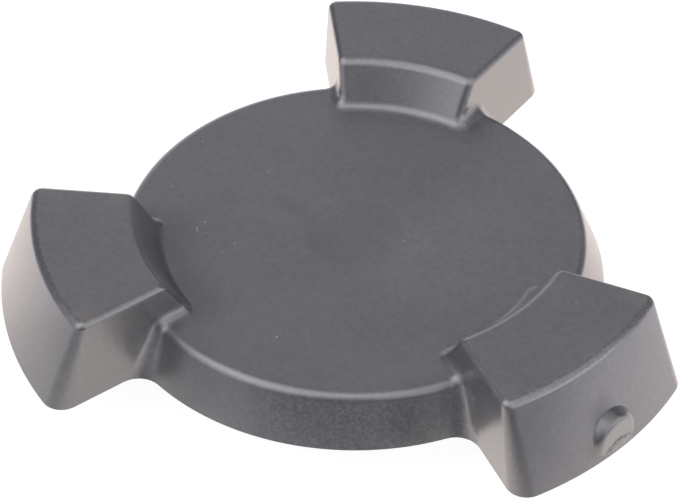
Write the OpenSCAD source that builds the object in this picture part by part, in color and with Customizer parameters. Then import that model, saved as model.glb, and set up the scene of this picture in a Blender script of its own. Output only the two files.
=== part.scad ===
// Coupler that turns a glass tray: a shallow disc with three raised drive lugs, moulded in one piece.
// The origin is on the shaft bore's axis, at the foot of the hub. The marked lug points along +X.

/* [Disc] */
// Radius of the disc at its top edge
disc_top_r = 21; // [19:0.5:23]
// Outward lean of the disc's wall, in degrees
disc_draft = 21.7; // [10:0.1:30]
// Height of the disc above the foot of the skirt
disc_h = 4.85; // [4:0.05:7]

/* [Lugs] */
// Height of the lugs above the foot of the skirt
lug_h = 8.85; // [8:0.05:12]
// Radius of a lug's outer face at its top edge
lug_top_r = 29.2; // [27:0.1:32]
// Outward lean of a lug's outer face, in degrees
lug_draft = 20.2; // [5:0.1:25]
// Half width of a lug's foot where it crosses the disc's edge
lug_half_w = 7.4; // [6:0.1:9]
// Angle between a lug's side face and the lug's centre line
lug_splay = 21.3; // [15:0.1:25]
// Inward lean of a lug's side faces, in degrees
side_draft = 1; // [0.5:0.1:3]
// Radius of a lug's hollowed inner face at its top edge
inner_top_r = 20.1; // [18:0.1:21]
// Lean of a lug's inner face, in degrees
inner_draft = 31.8; // [10:0.1:35]

/* [Rounded edges] */
// Radius of the rim's edge and of the lugs' top edges
edge_r = 0.6; // [0.3:0.1:1]
// Radius of the fillet at the foot of a lug's inner face
foot_r = 1.1; // [0.5:0.1:2]
// Radius of a lug's upright outer corners at the top
corner_top_r = 0.8; // [0.7:0.1:1.5]
// Radius of the same corners at the foot
corner_foot_r = 1.9; // [1.5:0.1:2.5]
// Radius of the upright fillet between a lug and the disc's wall, at the top
web_top_r = 1.2; // [0.5:0.1:2.5]
// Radius of the same fillet at the foot
web_foot_r = 2.25; // [1.5:0.05:3]

/* [Underside] */
// Thickness of the moulded walls
wall_t = 1.8; // [1.5:0.1:2]
// Outer radius of the hub
hub_r = 6; // [5.5:0.1:7]
// How far the hub stands below the skirt
hub_drop = 6.15; // [4:0.05:8]
// Thickness of the radial ribs
rib_t = 1.4; // [1:0.1:2]
// How far the ribs stop short of the foot of the skirt
rib_lift = 0.8; // [0.2:0.1:2]

/* [Shaft bore] */
// Radius of the bore
bore_r = 3.55; // [3.5:0.01:3.65]
// Distance from the axis to the bore's flat
bore_flat = 2.6; // [2.5:0.05:2.8]
// Depth of the bore above the foot of the hub
bore_depth = 9; // [8:0.1:9.2]
// Bevel around the hub's foot
hub_bevel = 0.4; // [0.2:0.1:0.6]

/* [Gate mark] */
// Radius of the face of the round pad at the foot of the marked lug
gate_r = 2.4; // [1.8:0.05:2.6]
// Height of the pad's axis above the foot of the skirt
gate_z = 1.1; // [1:0.1:2]
// How far the pad's face lies inside the lug's foot
gate_inset = 0.2; // [0.1:0.05:0.4]
// Lean of the pad's flank, in degrees
gate_draft = 20; // [5:1:25]
// Width of the scar where the plastic was fed in
scar_w = 2; // [1:0.1:2.5]
// Height of the scar
scar_h = 0.7; // [0.4:0.1:1]

/* [Hidden] */

$fn = 96;
lug_count = 3;
lug_step = 360 / lug_count;
arc_steps = 5;
corner_steps = 6;
face_steps = 10;
overlap = 0.03;
level_t = 0.001;
slack = 1;
far = 40;
colour = [0.42, 0.42, 0.44];

roof_t = wall_t;
disc_foot_r = disc_top_r + disc_h * tan(disc_draft);
lug_foot_r = lug_top_r + lug_h * tan(lug_draft);
inner_foot_r = inner_top_r - (lug_h - disc_h) * tan(inner_draft);
lug_start_r = inner_foot_r - web_foot_r;
disc_ceiling = disc_h - roof_t;
lug_ceiling = lug_h - roof_t;
side_wall_t = wall_t / cos(lug_splay);
hub_h = hub_drop + disc_h - roof_t / 2;

// Points on a circular arc, from one angle to another
function arc(centre, r, from, to, steps) =
    [for (i = [0:steps]) centre + r * [cos(from + (to - from) * i / steps), sin(from + (to - from) * i / steps)]];

// Points of a list in the opposite order
function reversed(points) = [for (i = [len(points) - 1:-1:0]) points[i]];

// Outline of a lug seen from above, mirrored about its centre line
function mirrored(half) = concat(half, reversed([for (p = half) [p[0], -p[1]]]));

// Radius of the disc's wall and of a lug's outer face, and half width of a lug, at a height
function disc_r(z) = disc_foot_r - z * tan(disc_draft);
function lug_r(z) = lug_foot_r - z * tan(lug_draft);
function half_w(z) = lug_half_w - z * tan(side_draft);
function inner_r(z) = inner_top_r - (lug_h - z) * tan(inner_draft);
function corner_r(z) = corner_foot_r + (corner_top_r - corner_foot_r) * z / lug_h;
function web_r(z) = web_foot_r + (web_top_r - web_foot_r) * z / disc_h;

// Outward direction of a lug's side face, seen from above
side_normal = [-sin(lug_splay), cos(lug_splay)];
side_along = [cos(lug_splay), sin(lug_splay)];

// Point that lies off a side face by a distance, and off the axis by another
function off_side(z, off, r) =
    let (base = [disc_top_r, half_w(z)] + off * side_normal,
         reach = base * side_along)
    base + (sqrt(reach * reach - base * base + r * r) - reach) * side_along;

// Outline of a lug at a height, drawn in by an inset
function lug_outline(z, inset) =
    let (r = corner_r(z),
         centre = off_side(z, -r, lug_r(z) - r),
         turn = atan2(centre[1], centre[0]))
    mirrored(concat(
        [off_side(z, -inset, lug_start_r)],
        arc(centre, r - inset, 90 + lug_splay, turn, corner_steps),
        arc([0, 0], lug_r(z) - inset, turn * (1 - 1 / face_steps), turn / face_steps, face_steps / 2)
    ));

// Heights and insets of the levels that round off a top edge
function edge_levels(top) =
    [for (i = [0:arc_steps]) let (a = 90 * i / arc_steps) [top - edge_r * (1 - sin(a)), edge_r * (1 - cos(a))]];

// Lug before its inner face is hollowed out
module lug_blank() {
    hull()
        for (level = concat([[0, 0]], edge_levels(lug_h)))
            translate([0, 0, min(level[0], lug_h - level_t)])
                linear_extrude(height = level_t)
                    polygon(lug_outline(level[0], level[1]));
}

// Space above the disc, between the lugs' inner faces
module tray_seat() {
    lean = 90 - inner_draft;
    rotate_extrude()
        polygon(concat(
            [[0, disc_h]],
            arc([inner_foot_r - foot_r * tan(lean / 2), disc_h + foot_r], foot_r, -90, -inner_draft, arc_steps),
            arc([inner_top_r + edge_r * tan(lean / 2), lug_h - edge_r], edge_r, 180 - inner_draft, 90, arc_steps),
            [[inner_top_r + edge_r * tan(lean / 2), lug_h + slack], [0, lug_h + slack]]
        ));
}

module lugs() {
    for (i = [0:lug_count - 1])
        rotate([0, 0, i * lug_step])
            difference() {
                lug_blank();
                tray_seat();
            }
}

// A point turned about the axis, and a point mirrored in the line that leaves the axis at an angle
function turned(p, a) = [p[0] * cos(a) - p[1] * sin(a), p[0] * sin(a) + p[1] * cos(a)];
function mirrored_in(p, a) = turned([p[0], -p[1]], 2 * a);

// Half of the skirt's outline between two lugs, with the fillet that joins it to the first one
function gap_half(z, inset) =
    let (r = web_r(z),
         centre = off_side(z, r - overlap, disc_r(z) + r),
         turn = atan2(centre[1], centre[0]),
         fillet = arc(centre, r + inset, 270 + lug_splay, 180 + turn, corner_steps),
         rim = arc([0, 0], disc_r(z) - inset, turn, lug_step / 2, face_steps))
    concat([for (i = [0:corner_steps - 1]) fillet[i]], rim);

function gap_outline(z, inset) =
    let (half = gap_half(z, inset), last = len(half) - 2)
    concat(half, [for (i = [last:-1:0]) mirrored_in(half[i], lug_step / 2)]);

// Outline of the disc and its fillets at a height, drawn in by an inset
function disc_outline(z, inset) =
    let (gap = gap_outline(z, inset))
    [for (k = [0:lug_count - 1]) for (p = gap) turned(p, k * lug_step)];

// Solid through a stack of levels, each a height and an inset, round outlines that hold the axis
module loft(outlines, heights) {
    n = len(outlines[0]);
    top = len(heights) - 1;
    foot_centre = n * (top + 1);
    rings = [for (k = [0:top]) for (p = outlines[k]) [p[0], p[1], heights[k]]];
    sides = [for (k = [0:top - 1]) for (i = [0:n - 1]) let (a = k * n + i, b = k * n + (i + 1) % n)
        each [[a, a + n, b], [a + n, b + n, b]]];
    foot = [for (i = [0:n - 1]) [foot_centre, i, (i + 1) % n]];
    lid = [for (i = [0:n - 1]) [foot_centre + 1, top * n + (i + 1) % n, top * n + i]];
    polyhedron(
        points = concat(rings, [[0, 0, heights[0]], [0, 0, heights[top]]]),
        faces = concat(sides, foot, lid)
    );
}

// Disc with its rounded rim and the upright fillets that run up to the lugs
module disc() {
    levels = concat([[0, 0]], edge_levels(disc_h));
    loft([for (v = levels) disc_outline(v[0], v[1])], [for (v = levels) v[0]]);
}

// Round pad where the plastic was fed in, cut off by the foot of the skirt, and the scar on it
module gate_mark() {
    face_r = lug_foot_r - gate_inset;
    flank = lug_foot_r - lug_r(gate_z + 2 * gate_r);
    intersection() {
        translate([face_r, 0, gate_z])
            rotate([0, -90, 0])
                cylinder(r1 = gate_r, r2 = gate_r + flank * tan(gate_draft), h = flank);
        translate([0, -far, 0]) cube([far, 2 * far, lug_h]);
    }
    translate([face_r - slack, -scar_w / 2, 0]) cube([slack + gate_inset, scar_w, scar_h]);
}

module outer_form() {
    disc();
    lugs();
    gate_mark();
}

// Hollow under the disc
module disc_hollow() {
    rotate_extrude()
        polygon([
            [0, -slack],
            [disc_r(-slack) - wall_t, -slack],
            [disc_r(disc_ceiling) - wall_t, disc_ceiling],
            [0, disc_ceiling]
        ]);
}

// Hollow under a lug, as seen from above
function pocket_outline() =
    [for (p = [[lug_start_r, 1], [far, 1], [far, -1], [lug_start_r, -1]])
        [p[0], p[1] * (lug_half_w - side_wall_t + (p[0] - disc_top_r) * tan(lug_splay))]];

module lug_hollow() {
    intersection() {
        rotate_extrude()
            polygon([
                [lug_start_r, -slack],
                [lug_r(-slack) - wall_t, -slack],
                [lug_r(lug_ceiling) - wall_t, lug_ceiling],
                [inner_r(lug_ceiling) + wall_t, lug_ceiling],
                [inner_r(disc_ceiling) + wall_t, disc_ceiling],
                [lug_start_r, disc_ceiling]
            ]);
        translate([0, 0, -2 * slack])
            linear_extrude(height = lug_h) polygon(pocket_outline());
    }
}

// Ribs under the disc, half of them running to a lug
module ribs() {
    for (i = [0:2 * lug_count - 1])
        rotate([0, 0, i * lug_step / 2])
            translate([0, -rib_t / 2, rib_lift])
                cube([disc_top_r, rib_t, lug_h]);
}

module hollows() {
    difference() {
        union() {
            disc_hollow();
            for (i = [0:lug_count - 1])
                rotate([0, 0, i * lug_step]) lug_hollow();
        }
        ribs();
    }
}

module hub() {
    translate([0, 0, -hub_drop]) {
        cylinder(r1 = hub_r - hub_bevel, r2 = hub_r, h = hub_bevel);
        translate([0, 0, hub_bevel]) cylinder(r = hub_r, h = hub_h - hub_bevel);
    }
}

// D-shaped bore for the motor's flatted shaft
module shaft_bore() {
    translate([0, 0, -hub_drop - slack])
        intersection() {
            cylinder(r = bore_r, h = bore_depth + slack);
            translate([-bore_flat, -far, -slack]) cube([far, 2 * far, bore_depth + 3 * slack]);
        }
}

module coupler() {
    color(colour)
        translate([0, 0, hub_drop])
            difference() {
                union() {
                    difference() {
                        outer_form();
                        hollows();
                    }
                    hub();
                }
                shaft_bore();
            }
}

coupler();
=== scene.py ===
"""Coupler that turns a glass tray: one dark grey moulding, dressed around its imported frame.

All sizes are in millimetres above the foot of the skirt until a piece is finished, and in metres after that.
"""

from __future__ import annotations

import logging
import math
import random
from collections.abc import Sequence
from dataclasses import dataclass, field

import bmesh
import bpy
from bmesh.types import BMEdge, BMesh, BMFace, BMVert
from mathutils import Matrix, Vector

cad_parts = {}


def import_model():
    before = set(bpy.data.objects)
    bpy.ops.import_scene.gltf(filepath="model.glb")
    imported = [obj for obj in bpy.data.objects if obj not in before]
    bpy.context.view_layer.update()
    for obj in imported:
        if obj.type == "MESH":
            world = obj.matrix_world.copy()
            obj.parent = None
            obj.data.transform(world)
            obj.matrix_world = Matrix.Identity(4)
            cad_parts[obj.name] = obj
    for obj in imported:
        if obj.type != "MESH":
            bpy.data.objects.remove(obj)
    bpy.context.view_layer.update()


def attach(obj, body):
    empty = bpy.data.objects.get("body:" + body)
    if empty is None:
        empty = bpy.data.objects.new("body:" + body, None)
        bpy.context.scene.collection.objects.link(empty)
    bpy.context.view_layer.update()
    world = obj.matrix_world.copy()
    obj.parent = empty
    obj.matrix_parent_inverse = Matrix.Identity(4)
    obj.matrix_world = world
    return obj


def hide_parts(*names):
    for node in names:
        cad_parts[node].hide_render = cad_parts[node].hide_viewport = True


MM = 0.001
log = logging.getLogger("coupler")


def linear(hex_colour: str) -> tuple[float, float, float, float]:
    """Turn an sRGB hex colour into Blender's linear one.

    Args:
        hex_colour: six hex digits, after a hash.

    Returns:
        Red, green, blue and an alpha of 1.
    """
    parts = [int(hex_colour[i : i + 2], 16) / 255 for i in (1, 3, 5)]
    light = [c / 12.92 if c <= 0.04045 else ((c + 0.055) / 1.055) ** 2.4 for c in parts]
    return (*light, 1.0)


@dataclass(frozen=True)
class Form:
    """The coupler's measures, the same as in the part's source."""

    disc_top_r: float = 21.0
    disc_draft: float = 21.7
    disc_h: float = 4.85
    lug_h: float = 8.85
    lug_top_r: float = 29.2
    lug_draft: float = 20.2
    lug_half_w: float = 7.4
    lug_splay: float = 21.3
    side_draft: float = 1.0
    inner_top_r: float = 20.1
    inner_draft: float = 31.8
    corner_top_r: float = 0.8
    corner_foot_r: float = 1.9
    inner_corner_r: float = 0.8
    web_foot_r: float = 2.25
    web_top_r: float = 1.2
    foot_r: float = 1.1
    edge_r: float = 0.6
    wall_t: float = 1.8
    hub_drop: float = 6.15
    lug_count: int = 3

    @property
    def lug_step(self) -> float:
        """Angle from one lug to the next, in degrees."""
        return 360 / self.lug_count

    @property
    def side_out(self) -> Vector:
        """Outward direction of a lug's side face, seen from above."""
        splay = math.radians(self.lug_splay)
        return Vector((-math.sin(splay), math.cos(splay), 0))

    def disc_r(self, z: float) -> float:
        """Radius of the disc's wall at a height."""
        return self.disc_top_r + (self.disc_h - z) * math.tan(math.radians(self.disc_draft))

    def lug_r(self, z: float) -> float:
        """Radius of a lug's outer face at a height."""
        return self.lug_top_r + (self.lug_h - z) * math.tan(math.radians(self.lug_draft))

    def inner_r(self, z: float) -> float:
        """Radius of a lug's inner face at a height."""
        return self.inner_top_r - (self.lug_h - z) * math.tan(math.radians(self.inner_draft))

    def corner_r(self, z: float) -> float:
        """Radius of a lug's upright outer corners at a height."""
        return self.corner_foot_r + (self.corner_top_r - self.corner_foot_r) * z / self.lug_h

    def off_side(self, z: float, off: float, r: float) -> Vector:
        """Find a point beside a lug's side face.

        Args:
            z: height of the point.
            off: distance outwards from the side face.
            r: distance from the axis.

        Returns:
            The point, for the lug that points along X.
        """
        splay = math.radians(self.lug_splay)
        along = Vector((math.cos(splay), math.sin(splay)))
        base = Vector((self.disc_top_r, self.lug_half_w - z * math.tan(math.radians(self.side_draft))))
        base += off * Vector((-math.sin(splay), math.cos(splay)))
        reach = base.dot(along)
        spot = base + (math.sqrt(reach * reach - base.length_squared + r * r) - reach) * along
        return Vector((spot.x, spot.y, z))


class Pen:
    """Draws an open line of edges with the spin and extrude operators."""

    def __init__(self, bm: BMesh, start: Vector) -> None:
        """Put the pen down at a point."""
        self.bm = bm
        self.verts: list[BMVert] = [bmesh.ops.create_vert(bm, co=start)["vert"][0]]

    @classmethod
    def from_vertex(cls, bm: BMesh, start: BMVert) -> Pen:
        """Put a pen down at a vertex that is already there."""
        pen = cls.__new__(cls)
        pen.bm, pen.verts = bm, [start]
        return pen

    def arc(self, centre: Sequence[float], angle: float, steps: int, axis: Sequence[float] = (0, 0, 1)) -> None:
        """Draw an arc.

        Args:
            centre: a point on its axis.
            angle: how far it turns, in degrees.
            steps: how many edges it has.
            axis: the direction of its axis.
        """
        for _ in range(steps):
            spun = bmesh.ops.spin(
                self.bm, geom=[self.verts[-1]], cent=centre, axis=axis, angle=math.radians(angle / steps), steps=1
            )
            self.verts.append(spun["geom_last"][0])

    def line(self, to: Vector) -> None:
        """Draw a straight edge to a point."""
        made = bmesh.ops.extrude_vert_indiv(self.bm, verts=[self.verts[-1]])["verts"][0]
        bmesh.ops.translate(self.bm, verts=[made], vec=to - made.co)
        self.verts.append(made)


def bridge(bm: BMesh, lower: list[BMVert], upper: list[BMVert]) -> None:
    """Join two lines of vertices, which have as many each, with a row of faces."""
    edges = [
        next(e for e in a.link_edges if e.other_vert(a) is b) for row in (lower, upper) for a, b in zip(row, row[1:])
    ]
    bmesh.ops.bridge_loops(bm, edges=edges)


def everything(bm: BMesh) -> list[BMVert | BMEdge | BMFace]:
    """All of a mesh, as the operators take it."""
    return bm.verts[:] + bm.edges[:] + bm.faces[:]


def turn_copies(bm: BMesh, count: int) -> None:
    """Repeat a mesh evenly around the axis."""
    bmesh.ops.spin(
        bm,
        geom=everything(bm),
        axis=(0, 0, 1),
        angle=math.tau * (count - 1) / count,
        steps=count - 1,
        use_duplicate=True,
    )


@dataclass
class OuterForm:
    """Disc, lugs and the fillets between them, as one closed shell with a flat foot.

    A sixth of it is drawn, from a lug's centre line to the middle of the gap beside it, and then mirrored and turned.
    Rows of edges are drawn at rising heights and bridged, and the flat faces between them are filled.
    """

    form: Form
    outer_steps: int = 10
    corner_steps: int = 8
    web_steps: int = 8
    rim_steps: int = 20
    inner_corner_steps: int = 6
    inner_steps: int = 14
    edge_steps: int = 6

    def edge_level(self, step: int, top: float) -> tuple[float, float]:
        """Height and inset of a row that rounds off a top edge."""
        turn = math.pi / 2 * step / self.edge_steps
        return top - self.form.edge_r * (1 - math.sin(turn)), self.form.edge_r * (1 - math.cos(turn))

    def draw_lug_end(self, bm: BMesh, z: float, inset: float = 0.0) -> Pen:
        """Draw half of a lug's outer face and its upright corner."""
        form = self.form
        r = form.corner_r(z)
        centre = form.off_side(z, -r, form.lug_r(z) - r)
        turn = math.degrees(math.atan2(centre.y, centre.x))
        pen = Pen(bm, Vector((form.lug_r(z) - inset, 0, z)))
        pen.arc((0, 0, z), turn, self.outer_steps)
        pen.arc(centre, 90 + form.lug_splay - turn, self.corner_steps)
        return pen

    def draw_inside(self, pen: Pen, z: float, side_out: float, inner_out: float) -> None:
        """Draw on along a lug's side face, its inner corner and half of its inner face.

        Args:
            pen: the pen, at the outer end of the side face.
            z: height of the outline.
            side_out: how far the side face is drawn out, below zero where it is drawn in.
            inner_out: the same for the inner face.
        """
        form = self.form
        r = form.inner_corner_r + inner_out
        centre = form.off_side(z, side_out - r, form.inner_r(z) - inner_out + r)
        turn = math.degrees(math.atan2(centre.y, centre.x))
        pen.line(centre + r * form.side_out)
        pen.arc(centre, 90 - form.lug_splay + turn, self.inner_corner_steps)
        pen.arc((0, 0, z), -turn, self.inner_steps)

    def draw_gap(self, pen: Pen, z: float) -> None:
        """Draw on along the upright fillet at the skirt's foot and half of the way to the next lug."""
        form = self.form
        centre = form.off_side(z, form.web_foot_r, form.disc_r(z) + form.web_foot_r)
        turn = math.degrees(math.atan2(centre.y, centre.x))
        pen.line(centre - form.web_foot_r * form.side_out)
        pen.arc(centre, turn - 90 - form.lug_splay, self.web_steps)
        pen.arc((0, 0, z), form.lug_step / 2 - turn, self.rim_steps)

    def draw_rim(self, bm: BMesh, step: int) -> Pen:
        """Draw a row of the rounded rim, with the fillet that lies between it and the lug.

        The fillet is what a ball leaves that rolls along the lug's side face and over the rim, and grows on its way.

        Args:
            bm: the mesh to draw in.
            step: which row, from the wall's upper edge to the disc's flat top.

        Returns:
            The pen, which started on the lug's side face.
        """
        form = self.form
        z, inset = self.edge_level(step, form.disc_h)
        lean = math.pi / 2 * step / self.edge_steps
        r = form.web_top_r + (form.foot_r - form.web_top_r) * step / self.edge_steps
        reach = form.edge_r + r
        ball = form.off_side(
            form.disc_h - form.edge_r + reach * math.sin(lean),
            r,
            form.disc_r(z) - form.edge_r + reach * math.cos(lean),
        )
        turn = math.degrees(math.atan2(ball.y, ball.x))
        rim = Vector((*((form.disc_r(z) - inset) * ball.xy.normalized()), z))
        start = ball - r * form.side_out
        axis = (start - ball).cross(rim - ball)
        pen = Pen(bm, start)
        pen.arc(ball, math.degrees((start - ball).angle(rim - ball)), self.web_steps, axis)
        pen.arc((0, 0, z), form.lug_step / 2 - turn, self.rim_steps)
        return pen

    def draw_foot(self, bm: BMesh, column: list[BMVert]) -> list[Pen]:
        """Draw the rows of the fillet at the foot of a lug, on the disc.

        Args:
            bm: the mesh to draw in.
            column: the end of the fillet at the rim, from the lug's side face to the disc.

        Returns:
            The pens, one for each vertex of the column.
        """
        form = self.form
        lean = math.radians(form.inner_draft)
        ball_at = form.inner_r(form.disc_h) - form.foot_r * math.tan(math.pi / 4 - lean / 2)
        pens = []
        for step, start in enumerate(column):
            turn = math.pi / 2 * step / self.web_steps
            z = form.disc_h + form.foot_r * (1 - math.sin(turn))
            inner_out = form.inner_r(z) - ball_at - form.foot_r * math.cos(turn) if turn > lean else 0.0
            pen = Pen.from_vertex(bm, start)
            self.draw_inside(pen, z, form.foot_r * (1 - math.cos(turn)), inner_out)
            pens.append(pen)
        return pens

    def build(self) -> BMesh:
        """Model the shell."""
        form = self.form
        bm = bmesh.new()
        skirt = self.draw_lug_end(bm, 0)
        end = len(skirt.verts)
        self.draw_gap(skirt, 0)
        rim = [self.draw_rim(bm, step) for step in range(self.edge_steps + 1)]
        foot = self.draw_foot(bm, rim[-1].verts[: self.web_steps + 1])
        crown = []
        for step in range(self.edge_steps + 1):
            z, inset = self.edge_level(step, form.lug_h)
            crown.append(self.draw_lug_end(bm, z, inset))
            self.draw_inside(crown[-1], z, -inset, -inset)

        bridge(bm, skirt.verts[:end], crown[0].verts[:end])
        bridge(bm, skirt.verts[end:], rim[0].verts)
        bridge(bm, crown[0].verts[end:], foot[0].verts[1:])
        for rows in (rim, foot, crown):
            for lower, upper in zip(rows, rows[1:]):
                bridge(bm, lower.verts, upper.verts)
        side = {skirt.verts[end - 1], skirt.verts[end], foot[0].verts[1], *crown[0].verts[end - 1 : end + 1]}
        side.update(row.verts[0] for row in rim)
        outline = [e for e in bm.edges if side.issuperset(e.verts) and len(e.link_faces) < 2]
        bmesh.ops.edgeloop_fill(bm, edges=outline)

        bmesh.ops.mirror(bm, geom=everything(bm), axis="Y", merge_dist=1e-4)
        turn_copies(bm, form.lug_count)
        bmesh.ops.remove_doubles(bm, verts=bm.verts, dist=1e-3)
        bmesh.ops.holes_fill(bm, edges=[e for e in bm.edges if e.is_boundary])
        bmesh.ops.recalc_face_normals(bm, faces=bm.faces)
        return bm


def solid_object(bm: BMesh, name: str) -> bpy.types.Object:
    """Turn a mesh that is being modelled into an object, and let go of it."""
    mesh = bpy.data.meshes.new(name)
    bm.to_mesh(mesh)
    bm.free()
    obj = bpy.data.objects.new(name, mesh)
    bpy.context.scene.collection.objects.link(obj)
    return obj


def settle(obj: bpy.types.Object) -> None:
    """Make what an object's modifiers show its own mesh."""
    graph = bpy.context.evaluated_depsgraph_get()
    obj.data = bpy.data.meshes.new_from_object(obj.evaluated_get(graph))
    obj.modifiers.clear()


def cut(obj: bpy.types.Object, tool: bpy.types.Object, operation: str) -> None:
    """Add or take away another solid, which is then gone.

    Args:
        obj: the solid that changes.
        tool: the solid that is used up.
        operation: UNION or DIFFERENCE.
    """
    boolean = obj.modifiers.new(operation.title(), "BOOLEAN")
    boolean.operation = operation
    boolean.solver = "EXACT"
    boolean.object = tool
    settle(obj)
    bpy.data.objects.remove(tool)


@dataclass
class Underside:
    """The moulding's hollows, ribs, hub and bore."""

    form: Form
    hub_r: float = 6.0
    rib_t: float = 1.4
    rib_lift: float = 0.8
    bore_r: float = 3.55
    bore_flat: float = 2.6
    bore_depth: float = 9.0
    hub_bevel: float = 0.4
    slack: float = 1.0
    pocket_r: float = 0.8
    steps: int = 96

    @property
    def disc_ceiling(self) -> float:
        """Height of the hollow under the disc."""
        return self.form.disc_h - self.form.wall_t

    @property
    def lug_ceiling(self) -> float:
        """Height of the hollow under a lug."""
        return self.form.lug_h - self.form.wall_t

    def round_cutter(self, foot_r: float, top_r: float, low: float, high: float) -> BMesh:
        """Model an upright cone or cylinder between two heights."""
        bm = bmesh.new()
        bmesh.ops.create_cone(
            bm, cap_ends=True, segments=self.steps, radius1=foot_r, radius2=top_r, depth=high - low
        )
        bmesh.ops.translate(bm, verts=bm.verts, vec=(0, 0, (low + high) / 2))
        return bm

    def disc_hollow(self) -> bpy.types.Object:
        """Solid that fills the hollow under the disc."""
        form = self.form
        bm = self.round_cutter(
            form.disc_r(-self.slack) - form.wall_t,
            form.disc_r(self.disc_ceiling) - form.wall_t,
            -self.slack,
            self.disc_ceiling,
        )
        rim = [e for e in bm.edges if all(v.co.z > self.disc_ceiling - 0.01 for v in e.verts)]
        bmesh.ops.bevel(
            bm, geom=rim, offset=0.4, segments=3, profile=0.5, affect="EDGES", material=-1, offset_type="OFFSET"
        )
        return solid_object(bm, "disc_hollow")

    def pocket_outline(self, bm: BMesh, z: float, inner: float) -> list[BMVert]:
        """Draw the outline of the hollow under a lug.

        Args:
            bm: the mesh to draw in.
            z: height of the outline.
            inner: its distance from the axis on the inside.

        Returns:
            Its vertices.
        """
        form = self.form
        far = form.off_side(z, -form.wall_t, form.lug_r(z) - form.wall_t)
        near = form.off_side(z, -form.wall_t, inner)
        half = math.degrees(math.atan2(far.y, far.x))
        pen = Pen(bm, near)
        pen.line(far)
        pen.arc(Vector((0, 0, z)), -2 * half, 12)
        pen.line(Vector((near.x, -near.y, z)))
        bmesh.ops.contextual_create(bm, geom=[pen.verts[-1], pen.verts[0]])
        return pen.verts

    def lug_hollow(self) -> bpy.types.Object:
        """Solid that fills the hollows under the lugs."""
        form = self.form
        bm = bmesh.new()
        low = form.inner_r(self.disc_ceiling) + form.wall_t
        levels = [
            (-self.slack, low),
            (self.disc_ceiling, low),
            (self.lug_ceiling, form.inner_r(self.lug_ceiling) + form.wall_t),
        ]
        rings = [self.pocket_outline(bm, z, inner) for z, inner in levels]
        for lower, upper in zip(rings, rings[1:]):
            ring_edges = [e for ring in (lower, upper) for e in bm.edges if all(v in ring for v in e.verts)]
            bmesh.ops.bridge_loops(bm, edges=ring_edges)
        bmesh.ops.holes_fill(bm, edges=[e for e in bm.edges if e.is_boundary])
        bmesh.ops.recalc_face_normals(bm, faces=bm.faces)
        sharp = [
            e
            for e in bm.edges
            if e.is_manifold and e.calc_face_angle() > math.radians(40) and max(v.co.z for v in e.verts) > 0
        ]
        bmesh.ops.bevel(
            bm, geom=sharp, offset=self.pocket_r, segments=3, profile=0.5, affect="EDGES", material=-1
        )
        turn_copies(bm, form.lug_count)
        return solid_object(bm, "lug_hollow")

    def stiffeners(self) -> bpy.types.Object:
        """Solid of the ribs and of the hub between them."""
        form = self.form
        bm = bmesh.new()
        bmesh.ops.create_cube(bm, size=1)
        start, end = self.hub_r / 2, form.disc_top_r
        bmesh.ops.scale(bm, verts=bm.verts, vec=(end - start, self.rib_t, 2 * form.lug_h))
        bmesh.ops.translate(bm, verts=bm.verts, vec=((start + end) / 2, 0, self.rib_lift + form.lug_h))
        foot = [e for e in bm.edges if all(v.co.z < form.disc_h for v in e.verts)]
        bmesh.ops.bevel(bm, geom=foot, offset=0.2, segments=2, profile=0.5, affect="EDGES", material=-1)
        turn_copies(bm, 2 * form.lug_count)
        return solid_object(bm, "stiffeners")

    def hub(self) -> bpy.types.Object:
        """Solid of the hub, with a bevel around its foot."""
        form = self.form
        bm = self.round_cutter(self.hub_r, self.hub_r, -form.hub_drop, form.disc_h - form.wall_t / 2)
        foot = [e for e in bm.edges if all(v.co.z < -form.hub_drop + 0.01 for v in e.verts)]
        bmesh.ops.bevel(bm, geom=foot, offset=self.hub_bevel, segments=3, profile=0.5, affect="EDGES", material=-1)
        return solid_object(bm, "hub")

    def bore(self) -> bpy.types.Object:
        """Solid that fills the flatted bore."""
        form = self.form
        low = -form.hub_drop - self.slack
        bm = self.round_cutter(self.bore_r, self.bore_r, low, self.bore_depth - form.hub_drop)
        bmesh.ops.bisect_plane(
            bm,
            geom=everything(bm),
            plane_co=(-self.bore_flat, 0, 0),
            plane_no=(-1, 0, 0),
            clear_outer=True,
        )
        bmesh.ops.holes_fill(bm, edges=[e for e in bm.edges if e.is_boundary])
        bmesh.ops.recalc_face_normals(bm, faces=bm.faces)
        return solid_object(bm, "bore")

    def carve(self, body: bpy.types.Object) -> None:
        """Hollow the body from beneath, and give it its hub and bore."""
        hollow = self.disc_hollow()
        cut(hollow, self.lug_hollow(), "UNION")
        cut(hollow, self.stiffeners(), "DIFFERENCE")
        cut(body, hollow, "DIFFERENCE")
        cut(body, self.hub(), "UNION")
        cut(body, self.bore(), "DIFFERENCE")


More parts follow.
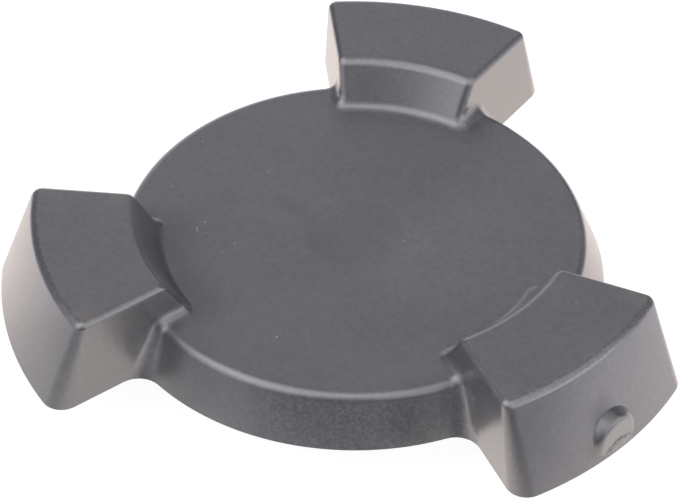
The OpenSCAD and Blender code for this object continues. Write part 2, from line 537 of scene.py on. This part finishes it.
@dataclass
class GateMark:
    """Round pad at the foot of the marked lug, where the plastic was fed in, and the scar on it."""

    form: Form
    face_r: float = 2.4
    flank_r: float = 3.3
    z: float = 1.1
    inset: float = 0.2
    depth: float = 2.6
    rounding: float = 0.45
    scar_at: tuple[float, float] = (0.25, 0.1)
    scar_size: tuple[float, float, float] = (0.14, 1.75, 1.0)
    torn: float = 0.09
    seed: int = 7
    steps: int = 64

    @property
    def face(self) -> float:
        """Distance of the pad's face from the axis."""
        return self.form.lug_r(0) - self.inset

    def cut_off(self, bm: BMesh, name: str) -> bpy.types.Object:
        """Make a solid of what lies above the foot of the skirt."""
        bmesh.ops.bisect_plane(
            bm, geom=everything(bm), plane_co=(0, 0, 0), plane_no=(0, 0, -1), clear_outer=True
        )
        bmesh.ops.holes_fill(bm, edges=[e for e in bm.edges if e.is_boundary])
        bmesh.ops.recalc_face_normals(bm, faces=bm.faces)
        return solid_object(bm, name)

    def scar(self) -> bpy.types.Object:
        """Model the torn end of the plastic that was fed in, a flat uneven lens on the pad's face."""
        bm = bmesh.new()
        bmesh.ops.create_icosphere(bm, subdivisions=4, radius=1)
        bmesh.ops.scale(bm, verts=bm.verts, vec=self.scar_size)
        draw = random.Random(self.seed)
        for vert in bm.verts:
            vert.co *= 1 + draw.uniform(-self.torn, self.torn)
        bmesh.ops.translate(bm, verts=bm.verts, vec=(self.face, *self.scar_at))
        return self.cut_off(bm, "gate_scar")

    def pad(self) -> bpy.types.Object:
        """Model the pad."""
        face = self.face
        bm = bmesh.new()
        bmesh.ops.create_cone(
            bm, cap_ends=True, segments=self.steps, radius1=self.flank_r, radius2=self.face_r, depth=self.depth
        )
        rim = [e for e in bm.edges if all(v.co.z > 0 for v in e.verts)]
        bmesh.ops.bevel(
            bm, geom=rim, offset=self.rounding, segments=4, profile=0.5, affect="EDGES", material=-1
        )
        bmesh.ops.rotate(bm, verts=bm.verts, matrix=Matrix.Rotation(math.radians(90), 3, "Y"))
        bmesh.ops.translate(bm, verts=bm.verts, vec=(face - self.depth / 2, 0, self.z))
        return self.cut_off(bm, "gate_pad")

    def add_to(self, body: bpy.types.Object) -> None:
        """Join the pad and its scar to the marked lug."""
        cut(body, self.pad(), "UNION")
        cut(body, self.scar(), "UNION")


def add_node(tree: bpy.types.NodeTree, kind: str, links: dict | None = None, **settings: object) -> bpy.types.Node:
    """Add a node with its settings and links.

    Args:
        tree: the node tree it goes in.
        kind: the node's type, without the ShaderNode in front.
        links: what feeds an input, by the input's name or number: a socket, or a plain value.
        **settings: the node's own properties.

    Returns:
        The node.
    """
    node = tree.nodes.new("ShaderNode" + kind)
    for name, value in settings.items():
        setattr(node, name, value)
    for name, value in (links or {}).items():
        if isinstance(value, bpy.types.NodeSocket):
            tree.links.new(value, node.inputs[name])
        else:
            node.inputs[name].default_value = value
    return node


@dataclass(frozen=True)
class Spot:
    """Soft round place, in millimetres from the axis and the skirt's foot: a mark that handling has left, or a patch
    of painted light or shade.
    """

    x: float
    y: float
    z: float
    r: float
    strength: float
    core: float = 0.2


@dataclass(frozen=True)
class MouldedPlastic:
    """Glass filled polyamide, moulded in a finely sparked steel cavity.

    The cavity leaves a fine matt grain. The plastic between the grains is smooth, so a low light glances off it.
    Handling has left light specks, most of them along the lugs' top edges, and a little brown film. Listed spots also
    scale its colour darker or lighter, as painted light and shade.
    """

    form: Form
    base: str = "#454549"
    pale: str = "#57575b"
    speck: str = "#a9a7a4"
    film: str = "#6a6357"
    grain_mm: float = 0.45
    smudge_mm: float = 9.0
    speck_gap_mm: float = 2.4
    wear_mm: float = 0.22
    worn: float = 0.34
    roughness: float = 0.4
    ior: float = 1.5
    smooth_beyond: float = 13.0
    lone_specks: tuple[Spot, ...] = (
        Spot(-19.14, -0.82, 4.85, 0.16, 0.6),
        Spot(-11.76, 0.48, 4.85, 0.15, 0.4),
        Spot(-16.57, -7.24, 4.85, 0.16, 0.6),
        Spot(-10.74, -9.61, 4.85, 0.18, 0.7),
        Spot(-10.81, -8.53, 4.85, 0.17, 0.65),
        Spot(-10.48, -9.83, 4.85, 0.16, 0.6),
        Spot(-9.66, -9.51, 4.85, 0.15, 0.4),
        Spot(-6.81, -8.59, 4.85, 0.17, 0.6),
        Spot(-6.78, -10.26, 4.85, 0.15, 0.5),
        Spot(23.21, 4.12, 8.85, 0.16, 0.7),
        Spot(22.19, -7.78, 4.68, 0.18, 0.9),
    )
    stains: tuple[Spot, ...] = (
        Spot(-6.3, -27.6, 8.85, 2.2, 0.55),
        Spot(-19.4, -18.3, 8.85, 3.0, 0.35),
        Spot(-15.8, -15.4, 8.85, 2.4, 0.4),
        Spot(26.3, -8.6, 8.85, 1.8, 0.45),
        Spot(25.9, 8.8, 8.85, 2.6, 0.5),
        Spot(20.5, 4.0, 8.85, 2.0, 0.3),
    )
    # Painted light and shade, as scales of the colour: the shade and light of a shallow sink over the hub and beside
    # it on the disc; painted shade on the left lug's inner wall and the disc before it, on the disc's wall beside
    # both webs, and on the gate pad's flank and beside it; painted highlights on the right lug's near side and on the
    # left web.
    painted_light_and_shade: tuple[Spot, ...] = (
        Spot(0.0, 0.0, 4.85, 4.9, -0.13, 0.84),
        Spot(8.6, 3.4, 4.85, 11.0, 0.16),
        Spot(5.4, 3.6, 4.85, 3.0, 0.12),
        Spot(-2.6, -2.8, 4.85, 1.4, -0.07),
        Spot(-1.4, -3.3, 4.85, 1.7, -0.09),
        Spot(0.5, -3.6, 4.85, 1.5, -0.09),
        Spot(3.0, 0.2, 4.85, 1.6, -0.06),
        Spot(-4.0, -1.6, 4.85, 1.2, -0.08),
        Spot(-5.3, -1.3, 4.85, 1.3, -0.14),
        Spot(-6.5, -1.5, 4.85, 1.3, -0.15),
        Spot(-7.7, -1.6, 4.85, 1.4, -0.15),
        Spot(-9.5, -2.0, 4.85, 1.6, -0.11),
        Spot(-3.9, 0.7, 4.85, 2.2, 0.14),
        Spot(-2.0, 10.5, 4.85, 7.0, -0.13),
        Spot(-12.6, -12.2, 5.4, 5.0, -0.42),
        Spot(-8.8, -15.2, 5.4, 5.0, -0.42),
        Spot(-4.2, -17.0, 5.4, 5.0, -0.42),
        Spot(0.5, -22.4, 2.6, 5.5, -0.42),
        Spot(19.4, -11.2, 2.4, 4.4, -0.6),
        Spot(24.3, -8.6, 5.4, 3.2, 0.4),
        Spot(-4.1, -22.0, 2.4, 2.8, 0.8),
        Spot(31.4, -0.8, 4.3, 2.2, -0.9),
        Spot(32.2, -2.8, 1.7, 1.5, -0.4),
    )

    def noise(self, tree: bpy.types.NodeTree, place: bpy.types.NodeSocket, size: float) -> bpy.types.NodeSocket:
        """Add noise whose features have a size in millimetres."""
        grain = add_node(tree, "TexNoise", {"Vector": place, "Scale": 1 / (size * MM), "Detail": 2.0})
        return grain.outputs["Fac"]

    def ramp(
        self, tree: bpy.types.NodeTree, value: bpy.types.NodeSocket, low: float, high: float, to: float = 1.0
    ) -> bpy.types.NodeSocket:
        """Add a smooth step from 0, where the value is low, up to a value, where it is high."""
        step = add_node(
            tree,
            "MapRange",
            {0: value, 1: low, 2: high, 3: 0.0, 4: to},
            clamp=True,
            interpolation_type="SMOOTHSTEP",
        )
        return step.outputs[0]

    def edge_mask(self, tree: bpy.types.NodeTree, place: bpy.types.NodeSocket) -> bpy.types.NodeSocket:
        """Add a mask of the top edges that are worn: the outer ones, and the near side's on the marked lug.

        The far lug has stayed smooth.
        """
        form = self.form
        spot = add_node(tree, "SeparateXYZ", {0: place}).outputs
        top = (form.hub_drop + form.lug_h) * MM
        level = add_node(tree, "VectorMath", {0: place, 1: (1, 1, 0)}, operation="MULTIPLY").outputs["Vector"]
        away = add_node(tree, "VectorMath", {0: level}, operation="LENGTH").outputs["Value"]
        outer = self.ramp(tree, away, (form.lug_top_r - 1.1) * MM, (form.lug_top_r - 0.5) * MM)
        near_out = Vector((form.side_out.x, -form.side_out.y, 0))
        edge_at = form.side_out.dot(form.off_side(form.lug_h, 0, form.lug_top_r))
        beside = add_node(tree, "VectorMath", {0: place, 1: near_out}, operation="DOT_PRODUCT").outputs["Value"]
        side = self.ramp(tree, beside, (edge_at - 1.2) * MM, (edge_at - 0.6) * MM)
        marked = self.ramp(tree, spot["X"], 14 * MM, 15 * MM)
        side = add_node(tree, "Math", {0: side, 1: marked}, operation="MULTIPLY").outputs[0]
        edge = add_node(tree, "Math", {0: outer, 1: side}, operation="MAXIMUM").outputs[0]
        up = self.ramp(tree, spot["Z"], top - 0.6 * MM, top - 0.35 * MM, self.worn)
        near = self.ramp(tree, spot["Y"], (self.smooth_beyond + 1) * MM, self.smooth_beyond * MM)
        edge = add_node(tree, "Math", {0: edge, 1: up}, operation="MULTIPLY").outputs[0]
        return add_node(tree, "Math", {0: edge, 1: near}, operation="MULTIPLY").outputs[0]

    def speck_mask(self, tree: bpy.types.NodeTree, place: bpy.types.NodeSocket) -> bpy.types.NodeSocket:
        """Add a mask of small dots: a few on the disc, some anywhere and many along the worn edges."""
        few = add_node(tree, "TexVoronoi", {"Vector": place, "Scale": 1 / (self.speck_gap_mm * MM)})
        chosen = self.ramp(tree, few.outputs["Color"], 0.86, 0.88)
        dot = self.ramp(tree, few.outputs["Distance"], 0.05, 0.03)
        specks = add_node(tree, "Math", {0: chosen, 1: dot}, operation="MULTIPLY").outputs[0]
        specks = self.spots(tree, place, self.lone_specks, specks)
        many = add_node(tree, "TexVoronoi", {"Vector": place, "Scale": 1 / (self.wear_mm * MM)})
        mark = self.ramp(tree, many.outputs["Distance"], 0.45, 0.2)
        picked = self.ramp(tree, many.outputs["Color"], 0.45, 0.6)
        along = add_node(tree, "Math", {0: mark, 1: picked}, operation="MULTIPLY").outputs[0]
        worn = add_node(tree, "Math", {0: along, 1: self.edge_mask(tree, place)}, operation="MULTIPLY").outputs[0]
        return add_node(tree, "Math", {0: specks, 1: worn}, operation="MAXIMUM").outputs[0]

    def spots(
        self, tree: bpy.types.NodeTree, place: bpy.types.NodeSocket, spots: tuple[Spot, ...], total: bpy.types.NodeSocket | float
    ) -> bpy.types.NodeSocket:
        """Add soft round spots to a mask."""
        for spot in spots:
            at = Vector((spot.x, spot.y, spot.z + self.form.hub_drop)) * MM
            away = add_node(tree, "VectorMath", {0: place, 1: at}, operation="DISTANCE").outputs["Value"]
            patch = self.ramp(tree, away, spot.r * MM, spot.core * spot.r * MM, spot.strength)
            total = add_node(tree, "Math", {0: total, 1: patch}, operation="ADD").outputs[0]
        return total

    def rubbed_wall(self, tree: bpy.types.NodeTree, place: bpy.types.NodeSocket) -> bpy.types.NodeSocket:
        """Add how much paler the grain's tips are on the disc's wall, where things have rubbed along it."""
        form = self.form
        level = add_node(tree, "VectorMath", {0: place, 1: (1, 1, 0)}, operation="MULTIPLY").outputs["Vector"]
        away = add_node(tree, "VectorMath", {0: level}, operation="LENGTH").outputs["Value"]
        spot = add_node(tree, "SeparateXYZ", {0: place}).outputs
        top = (form.hub_drop + form.disc_h) * MM
        total = self.ramp(tree, self.noise(tree, place, 0.26), 0.38, 0.7, 0.56)
        for step in (
            self.ramp(tree, away, (form.disc_top_r + 0.1) * MM, (form.disc_top_r + 0.5) * MM),
            self.ramp(tree, away, (form.disc_top_r + 2.8) * MM, (form.disc_top_r + 2.2) * MM),
            self.ramp(tree, spot["Z"], top - 0.1 * MM, top - 0.4 * MM),
            self.ramp(tree, spot["X"], 4 * MM, 11 * MM),
        ):
            total = add_node(tree, "Math", {0: total, 1: step}, operation="MULTIPLY").outputs[0]
        return total

    def stain_mask(self, tree: bpy.types.NodeTree, place: bpy.types.NodeSocket) -> bpy.types.NodeSocket:
        """Add a mask of the stains, broken up by noise."""
        total = self.spots(tree, place, self.stains, 0.0)
        broken = self.ramp(tree, self.noise(tree, place, 1.1), 0.35, 0.65)
        return add_node(tree, "Math", {0: total, 1: broken}, operation="MULTIPLY", use_clamp=True).outputs[0]

    def blend(
        self,
        tree: bpy.types.NodeTree,
        share: bpy.types.NodeSocket,
        first: bpy.types.NodeSocket | tuple,
        second: bpy.types.NodeSocket | tuple,
    ) -> bpy.types.NodeSocket:
        """Mix two colours."""
        mix = add_node(tree, "Mix", {"Factor": share}, data_type="RGBA")
        for socket, value in ((mix.inputs[6], first), (mix.inputs[7], second)):
            if isinstance(value, bpy.types.NodeSocket):
                tree.links.new(value, socket)
            else:
                socket.default_value = value
        return mix.outputs[2]

    def material(self) -> bpy.types.Material:
        """Make the material."""
        material = bpy.data.materials.new("moulded_glass_filled_polyamide")
        material.use_nodes = True
        tree = material.node_tree
        tree.nodes.clear()
        place = add_node(tree, "TexCoord").outputs["Object"]
        grain = self.noise(tree, place, self.grain_mm)
        smudge = self.ramp(tree, self.noise(tree, place, self.smudge_mm), 0.3, 0.7)
        mottle = self.ramp(tree, grain, 0.3, 0.7)
        uneven = add_node(tree, "Math", {0: smudge, 1: 0.4, 2: mottle}, operation="MULTIPLY_ADD").outputs[0]
        shade = add_node(tree, "Math", {0: uneven, 1: 0.7}, operation="MULTIPLY", use_clamp=True).outputs[0]
        colour = self.blend(tree, shade, linear(self.base), linear(self.pale))
        # Scale of the colour: the painted light and shade of the listed spots, plus the paler rubbed grain on the
        # disc's wall.
        painted_light_and_rub = self.spots(tree, place, self.painted_light_and_shade, 1.0)
        painted_light_and_rub = add_node(tree, "Math", {0: painted_light_and_rub, 1: self.rubbed_wall(tree, place)}, operation="ADD").outputs[0]
        colour = add_node(tree, "VectorMath", {0: colour, "Scale": painted_light_and_rub}, operation="SCALE").outputs["Vector"]
        colour = self.blend(tree, self.stain_mask(tree, place), colour, linear(self.film))
        colour = self.blend(tree, self.speck_mask(tree, place), colour, linear(self.speck))
        bump = add_node(
            tree, "Bump", {"Height": grain, "Strength": 0.12, "Distance": 0.05 * MM}
        ).outputs["Normal"]
        shader = add_node(
            tree,
            "BsdfPrincipled",
            {
                "Base Color": colour,
                "Roughness": self.roughness,
                "IOR": self.ior,
                "Coat Weight": 1.0,
                "Coat IOR": 2.2,
                "Coat Roughness": 0.3,
                "Normal": bump,
                "Coat Normal": bump,
            },
        )
        add_node(tree, "OutputMaterial", {"Surface": shader.outputs["BSDF"]})
        return material


@dataclass
class Coupler:
    """The whole moulding."""

    form: Form = field(default_factory=Form)
    sharp_over: float = 38.0

    def build(self) -> bpy.types.Object:
        """Model and dress the moulding, in its place on the frame."""
        body = solid_object(OuterForm(self.form).build(), "moulded_coupler")
        GateMark(self.form).add_to(body)
        Underside(self.form).carve(body)
        body.data.transform(Matrix.Translation((0, 0, self.form.hub_drop)))
        body.data.transform(Matrix.Scale(MM, 4))
        body.data.shade_smooth()
        body.data.set_sharp_from_angle(angle=math.radians(self.sharp_over))
        weighted = body.modifiers.new("Even shading", "WEIGHTED_NORMAL")
        weighted.keep_sharp = True
        body.data.materials.clear()
        body.data.materials.append(MouldedPlastic(self.form).material())
        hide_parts("coupler")
        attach(body, "root")
        log.info("%s: %d faces", body.name, len(body.data.polygons))
        return body


def heading(azimuth: float, elevation: float) -> Vector:
    """Direction of something seen at an azimuth and an elevation, in degrees."""
    turn, lift = math.radians(azimuth), math.radians(elevation)
    return Vector((math.cos(turn) * math.cos(lift), math.sin(turn) * math.cos(lift), math.sin(lift)))


@dataclass(frozen=True)
class SkyPatch:
    """Part of the surroundings that is lighter or darker than the rest."""

    azimuth: float
    elevation: float
    full_to: float
    fades_at: float
    gain: float


@dataclass
class Softbox:
    """Square lamp that faces the coupler."""

    name: str
    azimuth: float
    elevation: float
    power: float
    size: float = 0.5
    distance: float = 0.9
    colour: tuple[float, float, float] = (1.0, 1.0, 1.0)

    def place(self, target: Vector) -> None:
        """Put the lamp in the scene."""
        lamp = bpy.data.lights.new(self.name, "AREA")
        lamp.energy, lamp.size, lamp.color = self.power, self.size, self.colour
        obj = bpy.data.objects.new(self.name, lamp)
        bpy.context.scene.collection.objects.link(obj)
        away = heading(self.azimuth, self.elevation)
        obj.location = target + self.distance * away
        obj.rotation_euler = away.to_track_quat("Z", "Y").to_euler()


@dataclass
class Studio:
    """Pale table, soft light all round it and the photograph's camera."""

    table_size: float = 3.0
    table_gap: float = 0.02
    table_colour: str = "#f3f3f2"
    near_colour: str = "#fff8f3"
    far_colour: str = "#eaeaff"
    front_azimuth: float = -45.0
    fades_around: tuple[float, float] = (60.0, 260.0)
    fades_ahead: tuple[float, float] = (30.0, 78.0)
    cools: tuple[float, float] = (35.0, 120.0)
    over_colour: str = "#ffe9dd"
    over_areas: tuple[tuple[float, float, float, float], ...] = (
        (135.0, -8.0, 10.0, 0.45),
        (-20.0, 8.0, 24.0, 0.28),
        (-84.0, 40.0, 54.0, -0.4),
    )
    sky_colour: str = "#f6f3fc"
    sky_strength: float = 0.53
    camera_at: tuple[float, float, float] = (172.253, -176.124, 234.648)
    looks_along: tuple[float, float, float] = (-0.51843, 0.52439, -0.67546)
    lens: float = 193.115
    softboxes: tuple[Softbox, ...] = (
        Softbox("key_softbox", 12, 38, 3.0, 1.1, 0.75),
        Softbox("fill_softbox", -95, 60, 1.5, 0.7, 0.75),
    )
    sky_patches: tuple[SkyPatch, ...] = (
        SkyPatch(-118, 30, 20, 38, 0.85),
        SkyPatch(-46, -16, 25, 50, -0.6),
        SkyPatch(-172, 20, 16, 40, -0.42),
        SkyPatch(58, 36, 20, 40, -0.45),
        SkyPatch(110, -2, 14, 27, -0.5),
        SkyPatch(32, 2, 16, 26, 0.9),
        SkyPatch(146, 8, 14, 26, 0.5),
        SkyPatch(138, 46, 12, 36, -0.1),
    )

    def table(self) -> None:
        """Lay the pale table top that the coupler stands on."""
        bm = bmesh.new()
        bmesh.ops.create_grid(bm, x_segments=1, y_segments=1, size=self.table_size / 2)
        bmesh.ops.translate(bm, verts=bm.verts, vec=(0, 0, -self.table_gap * MM))
        top = solid_object(bm, "table_top")
        material = bpy.data.materials.new("pale_painted_board")
        material.use_nodes = True
        tree = material.node_tree
        tree.nodes.clear()
        path = add_node(tree, "LightPath").outputs
        seen = add_node(
            tree, "Math", {0: path["Is Camera Ray"], 1: path["Is Transmission Ray"]}, operation="MAXIMUM"
        )
        place = add_node(tree, "TexCoord").outputs["Object"]
        away = add_node(tree, "VectorMath", {0: place}, operation="LENGTH").outputs["Value"]
        ahead = add_node(
            tree, "VectorMath", {0: place, 1: heading(self.front_azimuth, 0)}, operation="DOT_PRODUCT"
        ).outputs["Value"]
        fades = []
        steps = [
            (away, self.fades_around, 1.0, 0.15),
            (ahead, self.fades_ahead, 1.0, 0.15),
            (away, self.cools, 1.0, 0.0),
        ]
        for azimuth, start, end, strength in self.over_areas:
            along = add_node(tree, "VectorMath", {0: place, 1: heading(azimuth, 0)}, operation="DOT_PRODUCT")
            steps.append((along.outputs["Value"], (start, end), 0.0, strength))
        for value, (start, end), most, least in steps:
            fades.append(
                add_node(
                    tree,
                    "MapRange",
                    {0: value, 1: start * MM, 2: end * MM, 3: most, 4: least},
                    clamp=True,
                    interpolation_type="SMOOTHSTEP",
                ).outputs[0]
            )
        lit = add_node(tree, "Math", {0: fades[0], 1: fades[1]}, operation="MULTIPLY")
        board = add_node(tree, "BsdfDiffuse", {"Color": linear(self.table_colour)})
        dimmed = add_node(tree, "BsdfDiffuse", {"Color": (0.25, 0.25, 0.25, 1.0)})
        glow = add_node(tree, "Emission", {"Color": (1, 1, 1, 1), "Strength": 0.92})
        white = add_node(tree, "AddShader", {0: dimmed.outputs[0], 1: glow.outputs[0]})
        tint = add_node(tree, "Mix", {"Factor": fades[2]}, data_type="RGBA")
        tint.inputs[6].default_value, tint.inputs[7].default_value = linear(self.far_colour), linear(self.near_colour)
        # Painted light: for reflections only, the table glows, up to white near the coupler, lighter or darker in the
        # over areas, and fading away from it.
        glint = add_node(tree, "Emission", {"Color": tint.outputs[2], "Strength": lit.outputs[0]})
        over = 0.0
        for share in fades[3:]:
            over = add_node(tree, "Math", {0: over, 1: share}, operation="ADD").outputs[0]
        over = add_node(tree, "Math", {0: over, 1: lit.outputs[0]}, operation="MULTIPLY").outputs[0]
        warm = add_node(tree, "Mix", {"Factor": fades[2]}, data_type="RGBA")
        warm.inputs[6].default_value, warm.inputs[7].default_value = linear("#d8dcff"), linear(self.over_colour)
        extra = add_node(tree, "Emission", {"Color": warm.outputs[2], "Strength": over})
        bright = add_node(tree, "AddShader", {0: glint.outputs[0], 1: extra.outputs[0]})
        mirrored = add_node(tree, "MixShader", {0: path["Is Glossy Ray"], 1: board.outputs[0], 2: bright.outputs[0]})
        shown = add_node(tree, "MixShader", {0: seen.outputs[0], 1: mirrored.outputs[0], 2: white.outputs[0]})
        add_node(tree, "OutputMaterial", {"Surface": shown.outputs[0]})
        top.data.materials.append(material)

    def world(self) -> None:
        """Surround the table with soft light that is uneven, as it is in a room."""
        world = bpy.data.worlds.new("soft_studio")
        world.use_nodes = True
        tree = world.node_tree
        tree.nodes.clear()
        place = add_node(tree, "TexCoord").outputs["Generated"]
        strength: bpy.types.NodeSocket | float = self.sky_strength
        for patch in self.sky_patches:
            near = add_node(tree, "VectorMath", {0: place, 1: heading(patch.azimuth, patch.elevation)}, operation="DOT_PRODUCT")
            fade = add_node(
                tree,
                "MapRange",
                {
                    0: near.outputs["Value"],
                    1: math.cos(math.radians(patch.fades_at)),
                    2: math.cos(math.radians(patch.full_to)),
                    3: 0.0,
                    4: patch.gain,
                },
                clamp=True,
                interpolation_type="SMOOTHSTEP",
            )
            strength = add_node(tree, "Math", {0: strength, 1: fade.outputs[0]}, operation="ADD").outputs[0]
        floor = add_node(tree, "Math", {0: strength, 1: 0.05}, operation="MAXIMUM").outputs[0]
        glow = add_node(tree, "Background", {"Color": linear(self.sky_colour), "Strength": floor})
        add_node(tree, "OutputWorld", {"Surface": glow.outputs[0]})
        bpy.context.scene.world = world

    def camera(self) -> None:
        """Set the camera up where the photograph was taken from."""
        data = bpy.data.cameras.new("camera")
        data.lens, data.sensor_width, data.sensor_fit = self.lens, 36.0, "HORIZONTAL"
        data.clip_start, data.clip_end = 0.01, 20.0
        obj = bpy.data.objects.new("camera", data)
        bpy.context.scene.collection.objects.link(obj)
        obj.location = Vector(self.camera_at) * MM
        obj.rotation_euler = Vector(self.looks_along).to_track_quat("-Z", "Y").to_euler()
        bpy.context.scene.camera = obj

    def build(self) -> None:
        """Set up the whole studio."""
        self.camera()
        self.table()
        self.world()
        for softbox in self.softboxes:
            softbox.place(Vector((0, 0, 0.01)))
        bpy.context.scene.view_settings.view_transform = "Standard"


def main() -> None:
    """Build the studio and the coupler."""
    logging.basicConfig(level=logging.INFO, format="%(message)s")
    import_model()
    Studio().build()
    Coupler().build()


if __name__ == "__main__":
    main()
